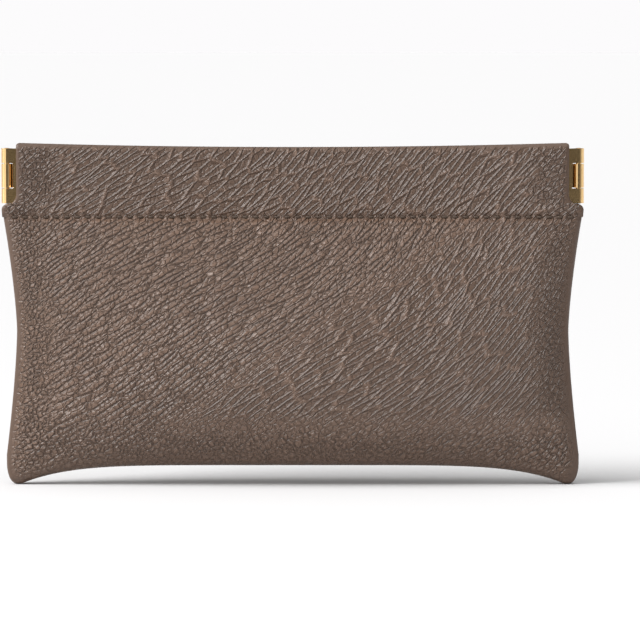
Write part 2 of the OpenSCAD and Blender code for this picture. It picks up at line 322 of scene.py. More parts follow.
def tube_faces(ring, rings, turned=False):
    """Faces of a tube with closed ends, whose points come ring by ring. Turned faces look the other way."""
    faces = [
        [j * ring + k, j * ring + (k + 1) % ring, (j + 1) * ring + (k + 1) % ring, (j + 1) * ring + k]
        for j in range(rings - 1)
        for k in range(ring)
    ]
    last = (rings - 1) * ring
    faces += [list(range(ring - 1, -1, -1)), [last + k for k in range(ring)]]
    return [f[::-1] for f in faces] if turned else faces


def hinge_pin(end):
    """A round wire with a dome at each end: rings of points from its top to its foot."""
    steps = 32
    half = (pin_high.z - pin_low.z) / 2
    middle = (pin_high.z + pin_low.z) / 2
    profile = [(PIN_R * radius, half - PIN_DOME * drop) for radius, drop in DOME_PROFILE]
    profile += [(r, -h) for r, h in reversed(profile)]
    points = [
        (
            end * PIN_X + r * math.cos(2 * math.pi * k / steps),
            r * math.sin(2 * math.pi * k / steps),
            middle + h,
        )
        for r, h in profile
        for k in range(steps)
    ]
    faces = tube_faces(steps, len(profile), turned=True)
    pin = make_piece(f"hinge_pin_{END_NAMES[end]}", points, faces, gold_plate)
    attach(pin, f"front_{END_NAMES[end]}")
    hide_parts(f"{END_NAMES[end]}_hinge_pin")


for end in (LEFT, RIGHT):
    hinge_pin(end)

# Springs: the long thin part of each strip, flat in its channel, of bright drawn spring steel.
# Each is made as two halves, from the hinge end to the middle of the mouth.
SPRING_T = STRIP_T - 0.1
SPRING_END = 58.6
SPRING_EDGE_R = 0.15

# Drawn spring steel is a plain grey metal. Fine lines along its length streak both its colour and its gloss.
spring_steel, tree = new_material("drawn_spring_steel")
place = node(tree, "ShaderNodeTexCoord")
draw_lines = node(tree, "ShaderNodeMapping", {"Vector": place.outputs["Object"]}, in_Scale=(60, 4000, 4000))
drawn = node(
    tree, "ShaderNodeTexNoise", {"Vector": draw_lines.outputs["Vector"]}, in_Scale=1.0, in_Detail=4.0
)
steel_tint = node(
    tree, "ShaderNodeMix", {"Factor": drawn.outputs["Fac"]}, data_type="RGBA",
    in_6=linear("#8f8d88"), in_7=linear("#b4b2ac"),
)
steel_gloss = node(
    tree, "ShaderNodeMapRange", {"Value": drawn.outputs["Fac"]}, in_To_Min=0.28, in_To_Max=0.42
)
steel_shader = node(
    tree, "ShaderNodeBsdfPrincipled",
    {"Base Color": steel_tint.outputs[2], "Roughness": steel_gloss.outputs["Result"]},
    in_Metallic=1.0,
)
finish_material(tree, steel_shader)


def flexes_with_channel(piece):
    """Bakes a piece of the mouth's placement into the points of its mesh."""
    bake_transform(piece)


def spring(side, end):
    """A flat bar with rounded long edges, cut across so that it can bow."""
    bands = 60
    half = SPRING_T / 2
    corners = [(-half, STRIP_LOW), (half, STRIP_LOW), (half, STRIP_TOP), (-half, STRIP_TOP)]
    section = rounded_outline([(y, z, SPRING_EDGE_R) for y, z in corners], steps=2)
    points = [
        (end * SPRING_END * k / bands, side * STRIP_Y + y, z)
        for k in range(bands + 1)
        for y, z in section
    ]
    faces = tube_faces(len(section), bands + 1, turned=end == RIGHT)
    piece = make_piece(f"{SIDE_NAMES[side]}_spring_{END_NAMES[end]}", points, faces, spring_steel)
    flexes_with_channel(piece)
    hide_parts(f"{SIDE_NAMES[side]}_strip_middle")


for side, end in QUARTERS:
    spring(side, end)

# Outer leather of the pouch: 1.1 mm pebbled cowhide in taupe, cut with the front and the back in one piece
# and folded at the bottom. It is sewn inside out along both sides and turned, so each side shows a rounded
# edge with the seam drawn in between. Each side is made as two halves, which meet in the middle.
STITCH_Z = 59.0
# Outline: half widths at the stitch line, the waist and the feet, then the feet's round corners
SHOULDER_HALF = 63.5
WAIST_HALF = 60.65
FOOT_HALF = 63.05
WAIST_Z = 34.0
FOOT_Z = 6.5
FOOT_L = 3.1
SIDE_CURVE = 1.45
CORNER_W = 2.2
CORNER_H = 4.6
BOTTOM_RISE = 4.1
# Swell of each side, how thick it is at its edges, its shallow folds, and the CAD's channel above it
PANEL_TOP = 59.55
SWELL = 7.6
CORNER_FOLDS = [(2.0, 17.0, 0.28), (57.5, 13.0, 0.22)]
EDGE_HALF = 1.65
CASING_OUT = -box_mm("front_casing_middle")[0].y
CASING_IN = -box_mm("front_casing_middle")[1].y
CASING_END = 60.6
CASING_TOP_Z = box_mm("front_casing_left")[1].z
# The leather itself: its inside, its bottom fold, and how it turns in at its top, its seams and its stitches
LEATHER_T = 1.1
INNER_INSET = 1.5
INNER_FOOT = 1.3
FOLD_R = 1.65
TURN_IN_H = 2.4
SEAM_TUCK = 150
SEAM_LINE = 0.03
SEAM_SINK, STITCH_SINK = 0.04, 0.4
STITCH_PITCH = 2.3
STITCH_COUNT = 54
SEAM_REACH = 1.1
OUTER_COLUMNS = 170


def side_x(z):
    """Half of the purse's width at a height."""
    z = np.asarray(z, float)
    top = (SHOULDER_HALF - WAIST_HALF) * (np.maximum(0, z - WAIST_Z) / (STITCH_Z - WAIST_Z)) ** SIDE_CURVE
    below = np.minimum(1, np.maximum(0, WAIST_Z - z) / (WAIST_Z - FOOT_Z))
    low = (FOOT_HALF - WAIST_HALF) * below**SIDE_CURVE
    fall = np.clip(1 - z / CORNER_H, 0, 1)
    return WAIST_HALF + top + low - CORNER_W + CORNER_W * np.sqrt(1 - fall**2)


def bottom_z(x):
    """Height of the bottom edge, which is drawn up between the two corners."""
    share = np.minimum(1, np.abs(x) / (FOOT_HALF - FOOT_L))
    return BOTTOM_RISE * (1 - share**6)


def rounding(distance, radius):
    """From 0 at an edge to 1 at a radius from it, as the section of a rounded edge."""
    share = 1 - np.clip(distance / radius, 0, 1)
    return np.sqrt(1 - share**2)


def ease(distance, reach):
    """From 0 to 1 over a reach, level at both ends."""
    share = np.clip(distance / reach, 0, 1)
    return share * share * (3 - 2 * share)


def stitch_press(x):
    """From 0 between stitches to 1 at the middle of a stitch."""
    phase = 2 * math.pi * (x / STITCH_PITCH - (STITCH_COUNT - 1) / 2)
    return (0.5 + 0.5 * np.cos(phase)) ** 0.7


def seam_depth(x):
    """Depth of the leather at the stitch line, where each stitch presses it in."""
    return CASING_OUT - SEAM_SINK - STITCH_SINK * stitch_press(x)


def waves(x, z, side):
    """Soft unevenness of hand-turned leather, in millimetres."""
    shift = 2.1 if side == BACK else 0.0
    broad = 0.16 * np.sin(x / 9.5 + z / 21 + shift) * np.sin(z / 11 - x / 33 + 0.6 + shift)
    fine = 0.07 * np.sin(x / 4.1 - z / 6.3 + 1.1 + shift) * np.sin(z / 5.2 + x / 11 + shift)
    return broad + fine


def corner_folds(x, z, side):
    """Shallow folds that fan out from each bottom corner and each shoulder into the pouch."""
    total = 0
    for corner_z, reach, depth in CORNER_FOLDS:
        dx = 62.0 - np.abs(x)
        dz = z - corner_z
        distance = np.hypot(dx, dz)
        angle = np.arctan2(np.abs(dz), dx + 1e-6)
        fan = np.cos(9.0 * angle + np.sign(x) * 0.7 + side * 0.5)
        total = total + depth * fan * np.exp(-((distance / reach) ** 2)) * np.clip(distance / 4, 0, 1)
    return total


def pouch_depth(x, z, edge_x, side):
    """How far the pouch's side stands out from the middle plane, inside its rounded edges.

    It swells most at about 40% of its height, and its exponents keep it full close to the edges."""
    low = bottom_z(x)
    rise = np.clip((z - low) / (PANEL_TOP - low), 0, 1)
    out = np.clip(np.abs(x) / edge_x, 0, 1)
    lengthwise = (1 - out**2.6) ** 0.75
    upright = np.sin(np.pi * rise**0.75) ** 0.8
    edge = EDGE_HALF + (CASING_OUT - EDGE_HALF) * rise
    from_edges = np.clip((1 - out) * edge_x / 6, 0, 1) * np.clip((z - low) / 6, 0, 1)
    inside = from_edges * np.clip((STITCH_Z - z) / 3, 0, 1)
    uneven = (waves(x, z, side) + corner_folds(x, z, side)) * inside
    depth = edge + SWELL * lengthwise * upright + uneven
    turn_in = ease(STITCH_Z - z, SEAM_REACH)
    return seam_depth(x) + (depth - seam_depth(x)) * turn_in


def column_shares():
    """Where a row's columns are, from just past the middle (-) to the edge (1), closer together at both."""
    shares = np.linspace(0, 1, 175)
    shares = shares - 0.012 * np.sin(2 * math.pi * shares)
    return np.concatenate([[-shares[1]], shares])


def pouch_grid(side, end):
    """Rows of points up the pouch. Each row runs from the middle out round the edge, and back inside."""
    fold_rows = FOLD_R * (1 - np.cos(np.linspace(0, math.pi / 2, 8)))
    main_rows = np.linspace(FOLD_R, STITCH_Z - TURN_IN_H, 58)[1:]
    top_rows = STITCH_Z - TURN_IN_H * np.cos(np.linspace(0, math.pi / 2, 14)[1:]) ** 1.6
    heights = np.concatenate([fold_rows, main_rows, top_rows])
    shares = column_shares()
    turn = np.radians(np.linspace(0, SEAM_TUCK, 13)[1:])
    rows = []
    for h in heights:
        outline = float(side_x(h))
        share = min(1.0, h / PANEL_TOP)
        edge_half = EDGE_HALF + (CASING_OUT - EDGE_HALF) * share
        roll = (edge_half - SEAM_LINE) / (1 + math.sin(math.radians(SEAM_TUCK - 90)))
        flat_x = outline - roll
        x = shares * flat_x
        lift = (1 - h / STITCH_Z) ** 1.5
        z = h + bottom_z(x) * lift
        closing = float(rounding(h, FOLD_R))
        y = pouch_depth(end * x, z, flat_x, side) * closing
        wrap_x = flat_x + roll * np.sin(turn)
        wrap_y = (edge_half - roll + roll * np.cos(turn)) * closing
        if h > STITCH_Z - SEAM_REACH:
            at_seam = seam_depth(end * wrap_x) / CASING_OUT
            turn_in = ease(STITCH_Z - h, SEAM_REACH)
            wrap_y = wrap_y * (at_seam + (1 - at_seam) * turn_in)
        wrap_z = np.full_like(wrap_x, h)
        inner_end = outline - INNER_INSET
        inner_x = shares[::-1] * inner_end
        inner_h = INNER_FOOT + h * (1 - INNER_FOOT / STITCH_Z)
        inner_z = inner_h + bottom_z(inner_x) * lift
        inner_y = pouch_depth(end * inner_x, np.minimum(inner_z, STITCH_Z - 0.9), inner_end, side) - LEATHER_T
        inner_y = np.maximum(0.06, inner_y * min(1.0, (h + 0.3) / FOLD_R))
        inner_z = np.minimum(inner_z, STITCH_Z - 0.02)
        rows.append(np.concatenate([
            np.stack([x, y, z], 1), np.stack([wrap_x, wrap_y, wrap_z], 1),
            np.stack([inner_x, inner_y, inner_z], 1),
        ]))
    return np.array(rows)


def wrapped_piece(name, grid, side, end, material, outer_columns):
    """Closes a grid of rows into a solid half and gives its cut in the middle the whole sheet's shading.

    The first and last columns lie past the cut and only serve to work out the shading there."""
    along = np.gradient(grid, axis=1)
    upward = np.gradient(grid, axis=0)
    normals = np.cross(along, upward)
    normals /= np.maximum(np.linalg.norm(normals, axis=2, keepdims=True), 1e-9)
    grid = grid[:, 1:-1]
    normals = normals[:, 1:-1]
    flip = np.array([end, side, 1.0])
    grid = grid * flip
    normals = normals * flip
    facing = np.sign(np.sum(normals[:, : outer_columns // 2, 1]) * side)
    normals = normals * facing
    rows, columns = grid.shape[:2]
    points = grid.reshape(-1, 3)
    index = np.arange(rows * columns).reshape(rows, columns)
    quads = np.stack([index[:-1, :-1], index[:-1, 1:], index[1:, 1:], index[1:, :-1]], 2)
    faces = quads.reshape(-1, 4).tolist()
    for row in (index[0], index[-1]):
        half = columns // 2
        across = row[::-1]
        strip = np.stack([row[: half], row[1 : half + 1], across[1 : half + 1], across[: half]], 1)
        faces += strip.tolist()
    ends = np.stack([index[:-1, 0], index[1:, 0], index[1:, -1], index[:-1, -1]], 1)
    first_cap = len(faces)
    faces += ends.tolist()
    mesh = bpy.data.meshes.new(name)
    mesh.from_pydata((points * MM).tolist(), [], faces)
    shaped = bmesh.new()
    shaped.from_mesh(mesh)
    original = shaped.verts.layers.int.new("original")
    is_cap = shaped.faces.layers.int.new("is_cap")
    shaped.verts.ensure_lookup_table()
    shaped.faces.ensure_lookup_table()
    for k, vertex in enumerate(shaped.verts):
        vertex[original] = k
    for face in shaped.faces[first_cap:]:
        face[is_cap] = 1
    bmesh.ops.remove_doubles(shaped, verts=shaped.verts[:], dist=2e-6)
    thin = [f for f in shaped.faces if f.calc_area() < 1e-13]
    bmesh.ops.delete(shaped, geom=thin, context="FACES")
    bmesh.ops.recalc_face_normals(shaped, faces=shaped.faces[:])
    shaped.to_mesh(mesh)
    shaped.free()
    mesh.shade_smooth()
    mesh.set_sharp_from_angle(angle=math.radians(55))
    first_column = {int(index[j, 0]): normals[j, 0] for j in range(rows)}
    origin = mesh.attributes["original"].data
    caps = mesh.attributes["is_cap"].data
    custom = [(0.0, 0.0, 0.0)] * len(mesh.loops)
    for polygon in mesh.polygons:
        if caps[polygon.index].value:
            continue
        for k in polygon.loop_indices:
            known = first_column.get(origin[mesh.loops[k].vertex_index].value)
            if known is not None:
                custom[k] = tuple(known)
    mesh.attributes.remove(mesh.attributes["original"])
    mesh.attributes.remove(mesh.attributes["is_cap"])
    mesh.normals_split_custom_set(custom)
    mesh.materials.append(material)
    return add_object(name, mesh)


def swings_with_side(piece):
    """Bakes a piece of the pouch's placement into the points of its mesh."""
    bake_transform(piece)


# Grain of the leather: its creases run up to the right, from about 26 degrees at the left to about 56 at the
# right, as wide arcs round a far point, and wander a little. Each point of the leather keeps its place in
# that flow, for the material below.
FLOW_ANGLE = math.radians(41)
FLOW_R = 300.0
FLOW_MIDDLE_Z = 37.0
FLOW_CENTRE = (-FLOW_R * math.sin(FLOW_ANGLE), FLOW_MIDDLE_Z + FLOW_R * math.cos(FLOW_ANGLE))
BACK_SHIFT = 57.3
CELL_LENGTH, CELL_WIDTH = 3.1, 1.12
OUTER_SMOOTH, CHANNEL_SMOOTH = 3.4, 1.3


def keep_value(mesh, name, values):
    """Keeps one number for each point of a mesh."""
    layer = mesh.attributes.new(name, "FLOAT", "POINT")
    layer.data.foreach_set("value", values.astype(np.float32))


def keep_grain(piece, side):
    """Keeps the grain's flow and its kind at each point of a leather piece.

    Depth fades out at the edges. Round is 1 for the pebbles at the foot and the sides. Flat is 1 for raised
    lines, in the channel and at the right."""
    mesh = piece.data
    points = np.array([v.co for v in mesh.vertices]) / MM
    x, z = points[:, 0] * -side, points[:, 2]
    shift = BACK_SHIFT if side == BACK else 0
    bend_x = x + 3.0 * np.sin(z / 19 + 0.8) + 1.6 * np.sin((x + shift) / 17 + z / 12)
    bend_z = z + 2.4 * np.sin((x + shift) / 24 + 0.4) + 1.0 * np.sin((x + shift) / 9.5 - z / 15)
    from_centre_x, from_centre_z = bend_x - FLOW_CENTRE[0], bend_z - FLOW_CENTRE[1]
    turned = np.arctan2(from_centre_z, from_centre_x) + math.pi / 2 - FLOW_ANGLE
    along = FLOW_R * turned / CELL_LENGTH + shift
    across = (FLOW_R - np.hypot(from_centre_x, from_centre_z)) / CELL_WIDTH
    flow = np.stack([along, across, points[:, 1] / CELL_WIDTH], 1)
    layer = mesh.attributes.new("grain_flow", "FLOAT_VECTOR", "POINT")
    layer.data.foreach_set("vector", flow.astype(np.float32).ravel())
    real_x, real_z = np.abs(points[:, 0]), points[:, 2]
    from_side = np.where(real_z < STITCH_Z + 3, side_x(np.minimum(real_z, STITCH_Z + 1)), CASING_END) - real_x
    from_top = CASING_TOP_Z - real_z
    from_low = real_z - bottom_z(points[:, 0])
    in_channel = ease(real_z - STITCH_Z + 1.5, 3.0)
    smooth_w = OUTER_SMOOTH + (CHANNEL_SMOOTH - OUTER_SMOOTH) * in_channel
    depth = ease(from_side - 0.4, smooth_w) * np.clip((from_top - 0.5) / 1.3, 0, 1)
    depth = depth * (0.25 + 0.75 * np.clip((from_low - 0.8) / 6.5, 0, 1))
    keep_value(mesh, "grain_depth", depth)
    roundness = np.clip(1 - (real_z - 6) / 12, 0, 1) + np.clip(1.5 - from_side / 7, 0, 1)
    keep_value(mesh, "grain_round", np.clip(roundness, 0, 1))
    drawn_flat = 0.95 * ease(x + 8 - 1.5 * (z - 30), 11) * ease(real_z - 9, 9)
    keep_value(mesh, "grain_flat", np.maximum(in_channel, drawn_flat))


# Pebbled cowhide has a satin finish. Long cells, rounder ones and small ones in between make its pillows and
# creases. The creases are painted a little darker as painted shade, and pores break up the gloss.
cowhide, tree = new_material("pebbled_cowhide_taupe")
flow = node(tree, "ShaderNodeAttribute", attribute_name="grain_flow")
depth = node(tree, "ShaderNodeAttribute", attribute_name="grain_depth")
roundness = node(tree, "ShaderNodeAttribute", attribute_name="grain_round")
wander = node(tree, "ShaderNodeTexNoise", {"Vector": flow.outputs["Vector"]}, in_Scale=0.55, in_Detail=3.0)
wander_middle = node(
    tree, "ShaderNodeVectorMath", {0: wander.outputs["Color"]}, operation="SUBTRACT", in_1=(0.5, 0.5, 0.5)
)
wander_size = node(
    tree, "ShaderNodeVectorMath", {0: wander_middle.outputs["Vector"]}, operation="SCALE", in_Scale=0.65
)
flow_place = node(
    tree, "ShaderNodeVectorMath", {0: flow.outputs["Vector"], 1: wander_size.outputs["Vector"]},
    operation="ADD",
)


def crease_distance(scale, randomness):
    """How far a point is from the nearest crease between cells, laid along the flow and sized by scale."""
    cell_place = node(
        tree, "ShaderNodeMapping", {"Vector": flow_place.outputs["Vector"]}, in_Scale=scale
    )
    cells = node(
        tree, "ShaderNodeTexVoronoi", {"Vector": cell_place.outputs["Vector"]},
        feature="DISTANCE_TO_EDGE", voronoi_dimensions="2D", in_Scale=1.0, in_Randomness=randomness,
    )
    return cells.outputs["Distance"]


long_cells = crease_distance((0.45, 0.85, 1.0), 0.92)
round_cells = crease_distance((2.4, 0.95, 1.0), 0.95)
small_cells = crease_distance((2.3, 1.15, 1.0), 1.0)
cell_kind = node(tree, "ShaderNodeMix", {"Factor": roundness.outputs["Fac"], 2: long_cells, 3: round_cells})
pillow = node(
    tree, "ShaderNodeMapRange", {"Value": cell_kind.outputs[0]},
    interpolation_type="SMOOTHSTEP", in_From_Max=0.3,
)
small_pillow = node(
    tree, "ShaderNodeMapRange", {"Value": small_cells},
    interpolation_type="SMOOTHSTEP", in_From_Max=0.24, in_To_Min=0.0, in_To_Max=0.5,
)
flatness = node(tree, "ShaderNodeAttribute", attribute_name="grain_flat")
ridges = node(
    tree, "ShaderNodeMapRange", {"Value": cell_kind.outputs[0]},
    interpolation_type="SMOOTHSTEP", in_From_Max=0.2, in_To_Min=1.0, in_To_Max=0.0,
)
large_relief = node(
    tree, "ShaderNodeMix",
    {"Factor": flatness.outputs["Fac"], 2: pillow.outputs["Result"], 3: ridges.outputs["Result"]},
)
small_share = node(
    tree, "ShaderNodeMapRange", {"Value": flatness.outputs["Fac"]}, in_To_Min=1.0, in_To_Max=0.45
)
small_relief = node(
    tree, "ShaderNodeMath", {0: small_pillow.outputs["Result"], 1: small_share.outputs["Result"]},
    operation="MULTIPLY",
)
relief = node(
    tree, "ShaderNodeMath", {0: large_relief.outputs[0], 1: small_relief.outputs["Value"]}, operation="ADD"
)
relief_here = node(
    tree, "ShaderNodeMath", {0: relief.outputs["Value"], 1: depth.outputs["Fac"]}, operation="MULTIPLY"
)
pores = node(tree, "ShaderNodeTexNoise", {"Vector": flow.outputs["Vector"]}, in_Scale=7.5, in_Detail=4.0)
pore_bump = node(
    tree, "ShaderNodeBump", {"Height": pores.outputs["Fac"]}, in_Strength=0.35, in_Distance=0.00008
)
grain_bump = node(
    tree, "ShaderNodeBump",
    {"Height": relief_here.outputs["Value"], "Normal": pore_bump.outputs["Normal"]},
    in_Strength=1.0, in_Distance=0.0007,
)
patches = node(tree, "ShaderNodeTexNoise", {"Vector": flow.outputs["Vector"]}, in_Scale=0.12, in_Detail=2.0)
hide_tint = node(
    tree, "ShaderNodeMix", {"Factor": patches.outputs["Fac"]}, data_type="RGBA",
    in_6=linear("#6e5749"), in_7=linear("#7b6455"),
)
# Painted shade: where the relief is low, in the creases and on the smooth edges where the grain fades out, the
# tint turns to the darker #5c483b.
valley_share = node(
    tree, "ShaderNodeMapRange", {"Value": relief_here.outputs["Value"]},
    in_From_Max=1.0, in_To_Min=1.0, in_To_Max=0.0,
)
crease_shade_tint = node(
    tree, "ShaderNodeMix", {"Factor": valley_share.outputs["Result"], 6: hide_tint.outputs[2]},
    data_type="RGBA", blend_type="MIX", in_7=linear("#5c483b"),
)
hide_gloss = node(tree, "ShaderNodeMapRange", {"Value": pores.outputs["Fac"]}, in_To_Min=0.34, in_To_Max=0.48)
hide_shader = node(
    tree, "ShaderNodeBsdfPrincipled",
    {
        "Base Color": crease_shade_tint.outputs[2],
        "Roughness": hide_gloss.outputs["Result"],
        "Normal": grain_bump.outputs["Normal"],
    },
    in_IOR=1.5,
)
finish_material(tree, hide_shader)

for side, end in QUARTERS:
    name = f"{SIDE_NAMES[side]}_leather_{END_NAMES[end]}"
    piece = wrapped_piece(name, pouch_grid(side, end), side, end, cowhide, OUTER_COLUMNS)
    keep_grain(piece, side)
    swings_with_side(piece)
    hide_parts(f"{SIDE_NAMES[side]}_panel", "bottom_fold")

# Channels: the top edge of each side is turned in over its spring strip and sewn down, so the channel is one
# more fold of the same leather. Its top is a round fold, its ends are turned edges round the slot that the
# hinge end comes out of, and its foot spreads into a rounded shoulder under each hinge.
CHANNEL_MIDDLE = (CASING_OUT + CASING_IN) / 2
CHANNEL_HALF = (CASING_OUT - CASING_IN) / 2
CASING_DIP = 0.9
SHOULDER_TIP_X = 63.8
TIP_R = 1.2
TIP_TOP = 61.8
SHOULDER_H = 2.1
TOP_CORNER = 0.6
TOP_FOLD = 1.25
END_FOLD = 0.4
END_SHARE = 0.78
SLOT_HALF = 0.42
SLOT_DEPTH = 4.0
SLOT_MARGIN = 0.1
SKIRT_LOW = 56.4
TIP_CLEARANCE = 0.5
WAVE_SHARE = 0.35


def channel_end(z):
    """Outline of a channel's end, from the shoulder's round tip up to the top corner."""
    z = float(z)
    if z < TIP_TOP - TIP_R:
        return SHOULDER_TIP_X - 0.12 * (1 - (z - STITCH_Z) / (TIP_TOP - TIP_R - STITCH_Z))
    if z < TIP_TOP:
        return SHOULDER_TIP_X - TIP_R + math.sqrt(TIP_R**2 - (z - TIP_TOP + TIP_R) ** 2)
    if z < TIP_TOP + SHOULDER_H:
        near = math.sqrt(1 - (1 - (z - TIP_TOP) / SHOULDER_H) ** 2)
        return CASING_END + (SHOULDER_TIP_X - TIP_R - CASING_END) * (1 - near)
    over = max(0.0, z - (CASING_TOP_Z - TOP_CORNER))
    return CASING_END - TOP_CORNER + math.sqrt(max(0.0, TOP_CORNER**2 - over**2))


def dip_at(x):
    """How far the channel's edge dips between its two ends."""
    return CASING_DIP * (1 - np.minimum(1, np.abs(x) / CASING_END) ** 2)


def channel_grid(side, end):
    """Rows of points up a channel. Each row runs along the outside, across the end and back inside."""
    low_rows = STITCH_Z + 1.5 * (1 - np.cos(np.linspace(0, math.pi / 2, 9)))
    tip_rows = np.concatenate([
        TIP_TOP - TIP_R + TIP_R * np.sin(np.linspace(0, math.pi / 2, 8)),
        TIP_TOP + SHOULDER_H * (1 - np.cos(np.linspace(0, math.pi / 2, 9)[1:])),
    ])
    slot_low, slot_top = HINGE_LOW - SLOT_MARGIN, HINGE_TOP + SLOT_MARGIN
    slot_rows = np.array([slot_low - 0.02, slot_low, slot_top])
    main_rows = np.linspace(TIP_TOP + SHOULDER_H + 0.5, CASING_TOP_Z - 1.6, 16)
    top_rows = CASING_TOP_Z - 1.3 * (1 - np.sin(np.linspace(0, math.pi / 2, 10)))
    heights = np.unique(np.round(np.concatenate([low_rows, tip_rows, slot_rows, main_rows, top_rows]), 4))
    shares = column_shares()
    # Columns across the end: the deep ones step in behind the others and make the slot for the hinge end
    across = np.array([
        CASING_OUT - 0.3, STRIP_Y + SLOT_HALF + 0.12, STRIP_Y + SLOT_HALF, STRIP_Y + SLOT_HALF - 0.02,
        STRIP_Y - SLOT_HALF + 0.02, STRIP_Y - SLOT_HALF, STRIP_Y - SLOT_HALF - 0.1, CASING_IN + 0.25,
    ])
    deep = np.array([0, 0, 0, 1, 1, 0, 0, 0])
    rows = []
    for z0 in heights:
        reach = channel_end(z0)
        share = (z0 - STITCH_Z) / (CASING_TOP_Z - STITCH_Z)
        x = shares * reach
        z = z0 - dip_at(x) * share
        from_top = CASING_TOP_Z - z0
        closing = float(rounding(from_top, TOP_FOLD))
        near_end = END_SHARE + (1 - END_SHARE) * rounding(reach - x, END_FOLD)
        outer = CHANNEL_MIDDLE + CHANNEL_HALF * closing * near_end
        foot_turn = ease(z0 - STITCH_Z, SEAM_REACH)
        press = seam_depth(end * x)
        outer = np.where(outer > press, press + (outer - press) * foot_turn, outer)
        inside = np.clip((reach - x) / 3, 0, 1) * min(1.0, (z0 - STITCH_Z) / 2) * min(1.0, from_top / 2)
        outer = outer + WAVE_SHARE * waves(end * x, z0, side) * inside
        cap_y = CHANNEL_MIDDLE + (across - CHANNEL_MIDDLE) * closing
        if z0 < STITCH_Z + SEAM_REACH:
            cap_y = np.minimum(cap_y, outer[-1])
        in_slot = slot_low <= z0 <= slot_top
        cap_x = reach - SLOT_DEPTH * deep * in_slot
        cap_z = np.full_like(cap_x, z0)
        inner_x = shares[::-1] * reach
        inner_end = END_SHARE + (1 - END_SHARE) * rounding(reach - inner_x, END_FOLD)
        inner_y = CHANNEL_MIDDLE - CHANNEL_HALF * closing * inner_end
        inner_y = inner_y + TIP_CLEARANCE * np.clip((inner_x - CASING_END) / 2, 0, 1)
        cap_y = np.maximum(cap_y, inner_y[0])
        skirt = (STITCH_Z - SKIRT_LOW) * np.clip((SHOULDER_TIP_X - 3 - np.abs(inner_x)) / 3, 0, 1)
        inner_z = z0 - dip_at(inner_x) * share - skirt * (1 - share) ** 2
        rows.append(np.concatenate([
            np.stack([x, outer, z], 1), np.stack([cap_x, cap_y, cap_z], 1),
            np.stack([inner_x, inner_y, inner_z], 1),
        ]))
    return np.array(rows)


for side, end in QUARTERS:
    name = f"{SIDE_NAMES[side]}_channel_{END_NAMES[end]}"
    piece = wrapped_piece(name, channel_grid(side, end), side, end, cowhide, OUTER_COLUMNS)
    keep_grain(piece, side)
    flexes_with_channel(piece)
    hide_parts(f"{SIDE_NAMES[side]}_casing_{END_NAMES[end]}", f"{SIDE_NAMES[side]}_casing_middle")

# Stitches: waxed polyester thread, 0.7 mm thick, in a lockstitch of 2.3 mm. Each stitch lies in the leather
# that it presses in, and dives through it at both ends.
THREAD_R = 0.29
STITCH_HALF = 0.78
STITCH_RAISE = 0.1
STITCH_DIVE = 0.45
THREAD_TWIST = 0.9

# Waxed thread is twisted of fine strands, 0.2 mm apart on the slant, and the wax gives it a dim sheen
waxed_thread, tree = new_material("waxed_polyester_thread")
place = node(tree, "ShaderNodeTexCoord")
strands = node(
    tree, "ShaderNodeMapping", {"Vector": place.outputs["Object"]}, in_Rotation=(0, math.radians(35), 0),
    in_Scale=(2600, 2600, 2600),
)
fibres = node(
    tree, "ShaderNodeTexWave", {"Vector": strands.outputs["Vector"]}, in_Scale=0.6, in_Distortion=0.6
)
thread_tint = node(
    tree, "ShaderNodeMix", {"Factor": fibres.outputs["Fac"]}, data_type="RGBA",
    in_6=linear("#3f3228"), in_7=linear("#5a493c"),
)
thread_bump = node(
    tree, "ShaderNodeBump", {"Height": fibres.outputs["Fac"]}, in_Strength=0.5, in_Distance=0.00005
)
thread_shader = node(
    tree, "ShaderNodeBsdfPrincipled",
    {"Base Color": thread_tint.outputs[2], "Normal": thread_bump.outputs["Normal"]},
    in_Roughness=0.55, in_IOR=1.5,
)
finish_material(tree, thread_shader)


def thread_bar(start, finish, out, radius, sink):
    """Points and faces of one stitch from start to finish, arched outward and sunk at both ends."""
    rings, sides = 9, 8
    start, finish, out = (np.array(p, float) for p in (start, finish, out))
    along = (finish - start) / np.linalg.norm(finish - start)
    aside = np.cross(along, out)
    points = []
    for j in range(rings):
        share = 2 * j / (rings - 1) - 1
        middle = (start + finish) / 2 + (finish - start) / 2 * share - out * sink * abs(share) ** 4
        thick = radius * math.sqrt(max(0.0, 1 - abs(share) ** 5)) + radius * 0.15
        for k in range(sides):
            angle = 2 * math.pi * k / sides + THREAD_TWIST * share
            points.append(middle + (out * math.sin(angle) + aside * math.cos(angle)) * thick)
    return points, tube_faces(sides, rings)


def thread_row(name, bars):
    """One piece made of many stitches."""
    points, faces = [], []
    for bar_points, bar_faces in bars:
        shift = len(points)
        points += bar_points
        faces += [[i + shift for i in f] for f in bar_faces]
    return make_piece(name, points, faces, waxed_thread, 60)


for side, end in QUARTERS:
    bars = []
    for k in range(STITCH_COUNT // 2):
        x = end * (k + 0.5) * STITCH_PITCH
        y = side * (float(seam_depth(x)) + STITCH_RAISE)
        start, finish = (x - STITCH_HALF, y, STITCH_Z), (x + STITCH_HALF, y, STITCH_Z)
        bars.append(thread_bar(start, finish, (0, side, 0), THREAD_R, STITCH_DIVE))
    row = thread_row(f"{SIDE_NAMES[side]}_stitches_{END_NAMES[end]}", bars)
    swings_with_side(row)
    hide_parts(f"{SIDE_NAMES[side]}_hem_stitches")

# Side seams inside the pouch: the two raw edges of the leather, 3.6 mm wide, sewn together with a stitch every
# 2.5 mm. They stand inside when the pouch is turned, and follow its outline. Their thick root fills the gap
# between the front and the back when the mouth opens.
SEAM_INSET, SEAM_W, SEAM_HALF = 1.0, 3.6, 0.36
SEAM_ROOT = 1.15
SEAM_LOW, SEAM_TOP = 6.2, 59.2
SEAM_PITCH = 2.5
SEAM_STITCH = 0.7
SEAM_MARGIN = 3
SEAM_THREAD_R, SEAM_RAISE, SEAM_DIVE = 0.2, 0.03, 0.3


